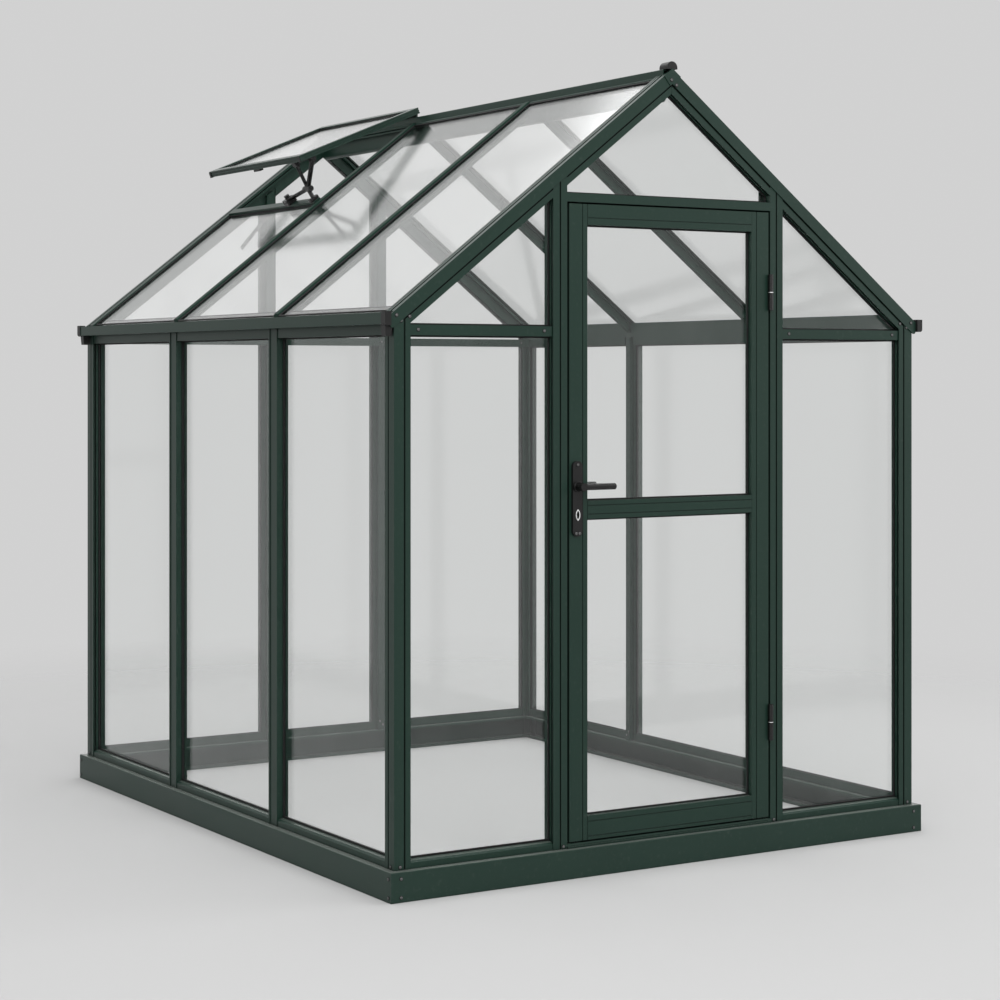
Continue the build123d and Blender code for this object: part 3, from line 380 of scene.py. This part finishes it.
# Corner posts and wall bars: extruded aluminium with grooves and slots for the glass and its seals,
# under the same green coat. Each post is screwed to the base at its foot, and each bar inside.
coat = powder_coat("green_coat", green_dark, green_light, 0.40, 0.30)
dress(
    coat,
    "corner_posts_front", "corner_posts_rear", "wall_bars_left", "wall_bars_right", "wall_bars_rear",
)
wall_x = 895.0
wall_y = 1080.0
from_corner = 18.0
foot_height = 88.0
post_screws = []
for side, gable in corners:
    post_screws.append(((side * wall_x, gable * (wall_y - from_corner), foot_height), (side, 0, 0)))
    post_screws.append(((side * (wall_x - from_corner), gable * wall_y, foot_height), (0, gable, 0)))
bar_inside_x = 851.0
bar_inside_y = 1036.0
rear_bar_x = 225.0
side_bar_y = 358.0
bar_foot_pair = ((-6, 112), (6, 98))
for side in (-1, 1):
    for along, height in bar_foot_pair:
        post_screws.append(((side * rear_bar_x + along, bar_inside_y, height), (0, -1, 0)))
        for bar in (-side_bar_y, side_bar_y):
            post_screws.append(((side * bar_inside_x, bar + along, height), (-side, 0, 0)))
set_screws("post", "root", post_screws)

# Sills, door posts, lintel and threshold: extruded aluminium like the posts, in the same coat,
# cut to length. One screw at its foot holds each door post.
dress(coat, "sills", "door_posts", "lintel", "threshold")
door_post_x = 365.5
door_post_foot = 87.0
door_post_screws = [((side * door_post_x, -wall_y, door_post_foot), (0, -1, 0)) for side in (-1, 1)]
set_screws("door_post", "root", door_post_screws)

# Tie beams: flat green aluminium across both gables at the eaves, screwed to the posts in front
# and to the posts and bars behind.
dress(coat, "tie_beams_front", "tie_beam_rear")
tie_middle = 1499.0
front_tie_face = -1076.0
rear_tie_face = 1020.0
tie_screws = []
for side in (-1, 1):
    for across in (820, 425):
        tie_screws.append(((side * across, front_tie_face, tie_middle), (0, -1, 0)))
    for across in (217, 233, 820):
        tie_screws.append(((side * across, rear_tie_face, tie_middle), (0, -1, 0)))
set_screws("tie", "root", tie_screws)

# Gutters: green aluminium, extruded with the eaves, closed at both ends by moulded black pieces
# with a spout.
dress(coat, "gutter_left", "gutter_right")
black_plastic = black_part("black_plastic", 0.010, 0.42)
dress(black_plastic, "gutter_ends")

# Rafters and ridge: two pairs of gable rafters meet under a cover plate, and black caps close
# the ends of the ridge. Screws hold the rafters' tongues, their inner bands and the plates.
dress(
    coat,
    "front_rafter_left", "front_rafter_right", "rear_rafter_left", "rear_rafter_right", "ridge_beam",
    "apex_plates",
)
dress(black_plastic, "ridge_caps")
rafter_foot_screws = ((889, 1083, 1536), (874, 1080, 1522), (848, 1080, 1533))
apex_screws = ((13, 1085, 2197), (-4, 1085, 2211))
rafter_screws = []
for side, gable in corners:
    for across, out, height in rafter_foot_screws:
        rafter_screws.append(((side * across, gable * out, height), (0, gable, 0)))
for gable in (-1, 1):
    for across, out, height in apex_screws:
        rafter_screws.append(((across, gable * out, height), (0, gable, 0)))
set_screws("rafter", "root", rafter_screws)

# Roof bars: the wall bars' section laid on the slope, with flat caps that hold the glass down.
# They lie under the sky and are more matt.
roof_coat = powder_coat("roof_bar_coat", green_dark, green_light, 0.55, 0.10)
dress(roof_coat, "roof_bars_left", "roof_bars_right")


# Panes: clear glass, 4 mm, with faint wiping streaks.
# Each face mirrors more the flatter it is looked at.
def clear_glass(name):
    material = bpy.data.materials.new(name)
    paint = Mix(material)
    facing = paint.add("ShaderNodeLayerWeight", {}, {"Blend": 0.5}, "Facing")
    shadow = paint.add("ShaderNodeLightPath", {}, {}, "Is Shadow Ray")
    wiped = paint.add("ShaderNodeMapping", {}, {"Vector": paint.place(), "Scale": (1, 1, 0.12)})
    streak = paint.add("ShaderNodeTexNoise", {}, {"Vector": wiped, "Scale": 9.0, "Detail": 3.0})
    mirrored = 0.030 + 0.03 * streak + 0.92 * facing**5.0
    clear = paint.add("ShaderNodeBsdfTransparent", {}, {"Color": (0.991, 0.995, 0.993, 1)})
    gloss = paint.add("ShaderNodeBsdfGlossy", {}, {"Color": grey(1.0), "Roughness": 0.10})
    layer = paint.add("ShaderNodeMixShader", {}, {0: mirrored * (1 - shadow), 1: clear, 2: gloss})
    paint.add("ShaderNodeOutputMaterial", {}, {"Surface": layer})
    return material


glass = clear_glass("clear_glass")
dress(
    glass,
    "glass_left", "glass_right", "glass_front", "glass_rear", "glass_roof_left", "glass_roof_right",
)

# Seals: black rubber strips pressed between each pane's outer face and its bars, all round.
strip_wide = 5.0
strip_high = 5.0
tucked = 0.5
roof_slope = math.atan2(710.0, 915.0)
ridge_height = 2242.0
rafter_depth = 55.0


def strip_round(low, high, across, roof_side=None, wide=strip_wide):
    """A rubber strip round an opening, given by its corners: a block of the opening's size, cut
    under the rafter where one crosses it, then emptied and given the strip's width."""
    middle = [(a + b) / 2 * mm for a, b in zip(low, high)]
    bpy.ops.object.select_all(action="DESELECT")
    bpy.ops.mesh.primitive_cube_add(size=mm, location=middle)
    piece = bpy.context.object
    piece.scale = [b - a for a, b in zip(low, high)]
    bpy.ops.object.transform_apply(location=True, rotation=True, scale=True)
    sides = {None: (), "left": (-1,), "right": (1,), "both": (-1, 1)}[roof_side]
    for side in sides:
        pick(piece, "FACE", lambda face: True)
        bpy.ops.mesh.bisect(
            plane_co=(0, 0, (ridge_height - rafter_depth / math.cos(roof_slope) + tucked) * mm),
            plane_no=(side * math.sin(roof_slope), 0, math.cos(roof_slope)),
            use_fill=True,
            clear_outer=True,
        )
    pick(piece, "FACE", lambda face: abs(face.normal[across]) > 0.9)
    bpy.ops.mesh.delete(type="FACE")
    bpy.ops.object.mode_set(mode="OBJECT")
    wall = piece.modifiers.new("wall", "SOLIDIFY")
    wall.thickness = wide * mm
    wall.offset = -1
    wall.use_even_offset = True
    edge = piece.modifiers.new("edge", "BEVEL")
    edge.width = 0.24 * wide * mm
    edge.segments = 2
    edge.limit_method = "ANGLE"
    only(piece)
    bpy.ops.object.modifier_apply(modifier="wall")
    bpy.ops.object.modifier_apply(modifier="edge")
    return piece


def wall_strip(face, out, span, heights, roof_side=None):
    """The strip of a pane in a gable wall, from the pane's face outwards."""
    near, far = sorted((face, face + out * strip_high))
    low = (span[0] - tucked, near, heights[0] - tucked)
    high = (span[1] + tucked, far, heights[1] + tucked)
    return strip_round(low, high, 1, roof_side)


pane_bottom = 105.0
eaves_under = 1485.0
side_bays = ((-1030, -385), (-331, 331), (385, 1030))
glass_x = 871.0
glass_y = 1056.0
for side, word in ((-1, "left"), (1, "right")):
    strips = []
    for start, stop in side_bays:
        near, far = sorted((side * glass_x, side * (glass_x + strip_high)))
        strips.append(
            strip_round(
                (near, start - tucked, pane_bottom - tucked), (far, stop + tucked, eaves_under + tucked), 0
            )
        )
    fit(joined(strips), "seals_" + word, "root", rubber)

post_inside = 845.0
door_post_out = 398.5
strips = []
for side, word in ((-1, "left"), (1, "right")):
    span = sorted((side * door_post_out, side * post_inside))
    strips.append(wall_strip(-glass_y, -1, span, (pane_bottom, 1484.0)))
    strips.append(wall_strip(-glass_y, -1, span, (1512.0, 1880.0), word))
strips.append(wall_strip(-glass_y, -1, (-352.5, 352.5), (1879.0, 2180.0), "both"))
fit(joined(strips), "seals_front", "root", rubber)

strips = [wall_strip(glass_y, 1, (-198, 198), (pane_bottom, 2180.0), "both")]
for side, word in ((-1, "left"), (1, "right")):
    span = sorted((side * 252, side * post_inside))
    strips.append(wall_strip(glass_y, 1, span, (pane_bottom, 1990.0), word))
fit(joined(strips), "seals_rear", "root", rubber)

# Roof seals: the same black rubber, laid over the glass along the caps of the roof bars. On the
# left the middle one starts below the vent.
roof_bays = ((-1034, -372), (-344, 344), (372, 1034))
pane_top = 39.0
pane_foot = 1124.0
vent_sill_foot = 489.0
pane_face = -8.0
roof_strip_high = 3.5
for side, word in ((-1, "left"), (1, "right")):
    strips = []
    for start, stop in roof_bays:
        top = vent_sill_foot if side < 0 and start > 0 else pane_top
        near, far = sorted((side * top, side * pane_foot))
        low = (near, start - tucked, pane_face)
        strips.append(strip_round(low, (far, stop + tucked, pane_face + roof_strip_high), 2))
    piece = joined(strips)
    piece.rotation_euler = (0, side * roof_slope, 0)
    piece.location = (0, 0, ridge_height * mm)
    bpy.ops.object.transform_apply(location=True, rotation=True, scale=True)
    fit(piece, "seals_roof_" + word, "root", rubber)

# Roof vent: a light framed pane hinged on the ridge, held open by a self-acting cylinder.
# Black corner keys join its frame, and a sill bar on the roof takes its lower edge.
dress(coat, "vent_sill", "vent_frame", "vent_hinge")
dress(glass, "vent_glass")
dress(black_plastic, "vent_corners")
black_metal = black_part("black_metal", 0.007, 0.25, shine=0.38)
dress(black_metal, "vent_opener")
vent_tilt = math.radians(22.5)
vent_hinge = (-6.0, 0.0, 2256.0)
piece = strip_round((-456.5, 369.5, 13.0), (-25.5, 1019.5, 15.5), 2, wide=3.0)
piece.rotation_euler = (0, -vent_tilt, 0)
piece.location = [value * mm for value in vent_hinge]
bpy.ops.object.transform_apply(location=True, rotation=True, scale=True)
fit(piece, "seal_vent", "root", rubber)

# Door: two stiles and three rails in the green coat, two panes in black seals, hung on two
# hinges of black coated metal.
door_coat = powder_coat("door_coat", green_dark, green_light, 0.40, 0.30)
dress(door_coat, "door_stiles", "door_bottom_rail", "door_middle_rail", "door_top_rail")
dress(glass, "door_glass")
dress(black_metal, "frame_hinges", "door_hinges")
door_pane_y = -1060.0
door_pane_heights = ((164, 982), (1032, 1793))
strips = [wall_strip(door_pane_y, -1, (-285, 285), heights) for heights in door_pane_heights]
fit(joined(strips), "seals_door", "door", rubber)

# Hinge rings: a turned ring of bright metal round the joint of each hinge's two knuckles, half a
# millimetre proud of them, with softened edges.
hinge_x = 349.25
hinge_y = -1087.0
hinge_middles = (372.0, 1618.0)
rings = []
for height in hinge_middles:
    bpy.ops.object.select_all(action="DESELECT")
    bpy.ops.mesh.primitive_cylinder_add(
        vertices=32, radius=7.5 * mm, depth=2.0 * mm, location=(hinge_x * mm, hinge_y * mm, height * mm)
    )
    piece = bpy.context.object
    edge = piece.modifiers.new("edge", "BEVEL")
    edge.width = 0.5 * mm
    edge.segments = 2
    edge.limit_method = "ANGLE"
    bpy.ops.object.modifier_apply(modifier="edge")
    rings.append(piece)
bright = black_part("bright_metal", 0.80, 0.25, 0.7)
fit(joined(rings), "hinge_rings", "root", bright)

# Handle: a cast lever on a long screwed plate on both sides, coated black, with a collar behind
# the lever and a bright ring round the keyhole.
dress(black_metal, "handle_plates", "door_lever")
plate_x = -323.0
plate_front = -1088.0
plate_screws = [(0, 1132.0), (-5.5, 943.5), (5.5, 943.5)]
set_screws("plate", "door", [((plate_x + x, plate_front, z), (0, -1, 0)) for x, z in plate_screws])


def plate_ring(name, height, wide, tall, deep, wall_wide, rounding, finish, point=0.0):
    """A round or oval ring on the front of the plate. A point draws its top and bottom out."""
    bpy.ops.object.select_all(action="DESELECT")
    bpy.ops.mesh.primitive_cylinder_add(
        vertices=40, radius=0.5 * mm, depth=(deep + 0.4) * mm, rotation=(math.pi / 2, 0, 0),
        location=(plate_x * mm, (plate_front + 0.2 - deep / 2) * mm, height * mm),
    )
    piece = bpy.context.object
    piece.scale = (wide, tall, 1)
    bpy.ops.object.transform_apply(location=True, rotation=True, scale=True)
    for way in (-1, 1):
        pick(piece, "VERT", lambda spot: way * (spot.co.z - height * mm) > 0.49 * tall * mm)
        bpy.ops.transform.translate(value=(0, 0, way * point * mm))
    pick(piece, "FACE", lambda face: abs(face.normal.y) > 0.9)
    bpy.ops.mesh.delete(type="FACE")
    bpy.ops.object.mode_set(mode="OBJECT")
    wall = piece.modifiers.new("wall", "SOLIDIFY")
    wall.thickness = wall_wide * mm
    wall.offset = -1
    edge = piece.modifiers.new("edge", "BEVEL")
    edge.width = rounding * mm
    edge.segments = 3
    edge.limit_method = "ANGLE"
    only(piece)
    bpy.ops.object.modifier_apply(modifier="wall")
    bpy.ops.object.modifier_apply(modifier="edge")
    fit(piece, name, "door", finish)


plate_ring("keyhole_ring", 994.0, 14.5, 28.0, 1.6, 2.8, 0.6, bright, point=1.6)
plate_ring("lever_collar", 1072.0, 29.0, 29.0, 6.0, 3.2, 1.4, black_metal)

bpy.data.objects.remove(screw)
bpy.data.objects.remove(washer)
